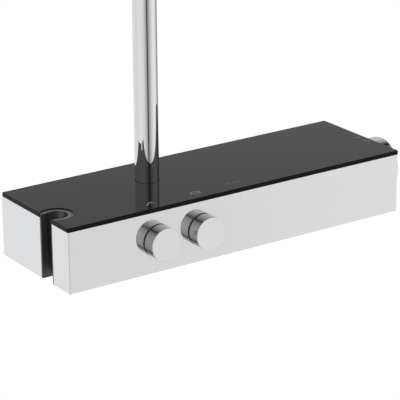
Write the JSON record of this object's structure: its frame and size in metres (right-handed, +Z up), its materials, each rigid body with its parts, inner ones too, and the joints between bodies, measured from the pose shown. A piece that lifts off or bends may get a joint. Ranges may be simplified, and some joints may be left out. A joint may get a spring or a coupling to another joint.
{
  "type": "rainfall shower column",
  "caption": "Wall-mounted thermostatic shower column: chrome mixer box with a black glass shelf, side holder, two front knobs, end temperature knob, riser, swivel arm and rain head.",
  "frame": {"origin": "on the wall plane, midway between the two water inlets, at the mid-height of the casing", "axes": "+Z up along the riser, +Y into the wall, +X to the right as the user faces the shower"},
  "size_m": [0.507, 0.6129, 1.212],
  "materials": {
    "chrome": "polished mirror",
    "spray_face": "polished",
    "black_glass": "polished black-backed glass",
    "adhesive": "matt",
    "black_plastic": "fine moulded satin",
    "zinc_steel": "zinc plated",
    "stainless": "plain",
    "brass": "machined",
    "grey_plastic": "moulded acetal",
    "ceramic": "lapped",
    "rubber": "moulded",
    "silicone": "moulded silicone"
  },
  "bodies": {
    "mixer": {"casing": "chrome", "glass_bond": "adhesive", "glass_shelf": "black_glass", "holder_liner": "black_plastic", "back_plate": "zinc_steel", "casing_screws": "stainless", "valve_body": "brass", "bar_saddles": "grey_plastic", "cold_inlet_nipple": "brass", "hot_inlet_nipple": "brass", "cold_union_nut": "brass", "hot_union_nut": "brass", "inlet_washers": "rubber", "cold_check_valve": "grey_plastic", "hot_check_valve": "grey_plastic", "hose_outlet_nipple": "chrome", "hand_fixed_disc": "ceramic", "rain_fixed_disc": "ceramic", "hand_cartridge": "brass", "rain_cartridge": "brass", "hand_cartridge_nut": "brass", "rain_cartridge_nut": "brass", "hand_spindle_bush": "black_plastic", "rain_spindle_bush": "black_plastic", "thermostat_cartridge": "grey_plastic", "return_spring": "stainless", "thermostat_nut": "brass", "stop_ring": "black_plastic", "thermostat_bush": "black_plastic", "riser_tube": "chrome", "riser_seal": "rubber", "pipe_orings": "rubber", "bracket_plate": "zinc_steel", "bracket_rosette": "chrome", "riser_clamp": "chrome", "swivel_housing": "chrome", "arm_retainer": "chrome"},
    "hand_control": {"hand_knob": "chrome", "hand_spindle": "brass", "hand_moving_disc": "ceramic", "hand_knob_grub": "stainless"},
    "rain_control": {"rain_knob": "chrome", "rain_spindle": "brass", "rain_moving_disc": "ceramic", "rain_knob_grub": "stainless"},
    "temperature_control": {"temperature_knob": "chrome", "thermostat_spindle": "brass", "button_spring": "stainless"},
    "safety_stop": {"safety_button": "chrome"},
    "regulator": {"regulating_piston": "grey_plastic"},
    "cold_poppet": {"cold_check_poppet": "grey_plastic"},
    "hot_poppet": {"hot_check_poppet": "grey_plastic"},
    "arm": {"shower_arm": "chrome", "ball_nipple": "chrome"},
    "ball_ring": {"ball_seat": "grey_plastic"},
    "head": {"collar_nut": "chrome", "head_shell": "chrome", "spray_plate": "spray_face", "nozzle_sheet": "silicone"}
  },
  "joints": [
    {"name": "hand_knob_turn", "type": "hinge", "parent": "mixer", "child": "hand_control", "pos_m": [-0.1172, -0.151, 0.0017], "axis": [0, -1, 0], "range_deg": [0, 90]},
    {"name": "rain_knob_turn", "type": "hinge", "parent": "mixer", "child": "rain_control", "pos_m": [-0.0556, -0.151, 0.0017], "axis": [0, -1, 0], "range_deg": [0, 90]},
    {"name": "temperature_turn", "type": "hinge", "parent": "mixer", "child": "temperature_control", "pos_m": [0.2375, -0.081, 0], "axis": [1, 0, 0], "range_deg": [-160, 70]},
    {"name": "piston_slide", "type": "slide", "parent": "mixer", "child": "regulator", "axis": [1, 0, 0], "range_m": [-0.0025, 0.0025], "deforming": ["return_spring"]},
    {"name": "safety_press", "type": "slide", "parent": "temperature_control", "child": "safety_stop", "axis": [0, 0, -1], "range_m": [0, 0.0012], "stiffness_N_per_m": 600, "springref_m": -0.002, "deforming": ["button_spring"]},
    {"name": "cold_check", "type": "slide", "parent": "mixer", "child": "cold_poppet", "axis": [0, -1, 0], "range_m": [0, 0.002], "stiffness_N_per_m": 40, "springref_m": -0.001},
    {"name": "hot_check", "type": "slide", "parent": "mixer", "child": "hot_poppet", "axis": [0, -1, 0], "range_m": [0, 0.002], "stiffness_N_per_m": 40, "springref_m": -0.001},
    {"name": "arm_swivel", "type": "hinge", "parent": "mixer", "child": "arm", "pos_m": [-0.0751, -0.0629, 1.05], "axis": [0, 0, 1], "range_deg": [-60, 60]},
    {"name": "head_tilt_x", "type": "hinge", "parent": "arm", "child": "ball_ring", "pos_m": [-0.0751, -0.4629, 1.064], "axis": [1, 0, 0], "range_deg": [-15, 15]},
    {"name": "head_tilt_y", "type": "hinge", "parent": "ball_ring", "child": "head", "pos_m": [-0.0751, -0.4629, 1.064], "axis": [0, 1, 0], "range_deg": [-15, 15]}
  ],
  "couplings": [
    {"joint": "piston_slide", "follows": "temperature_turn", "m_per_rad": 0.0008}
  ]
}
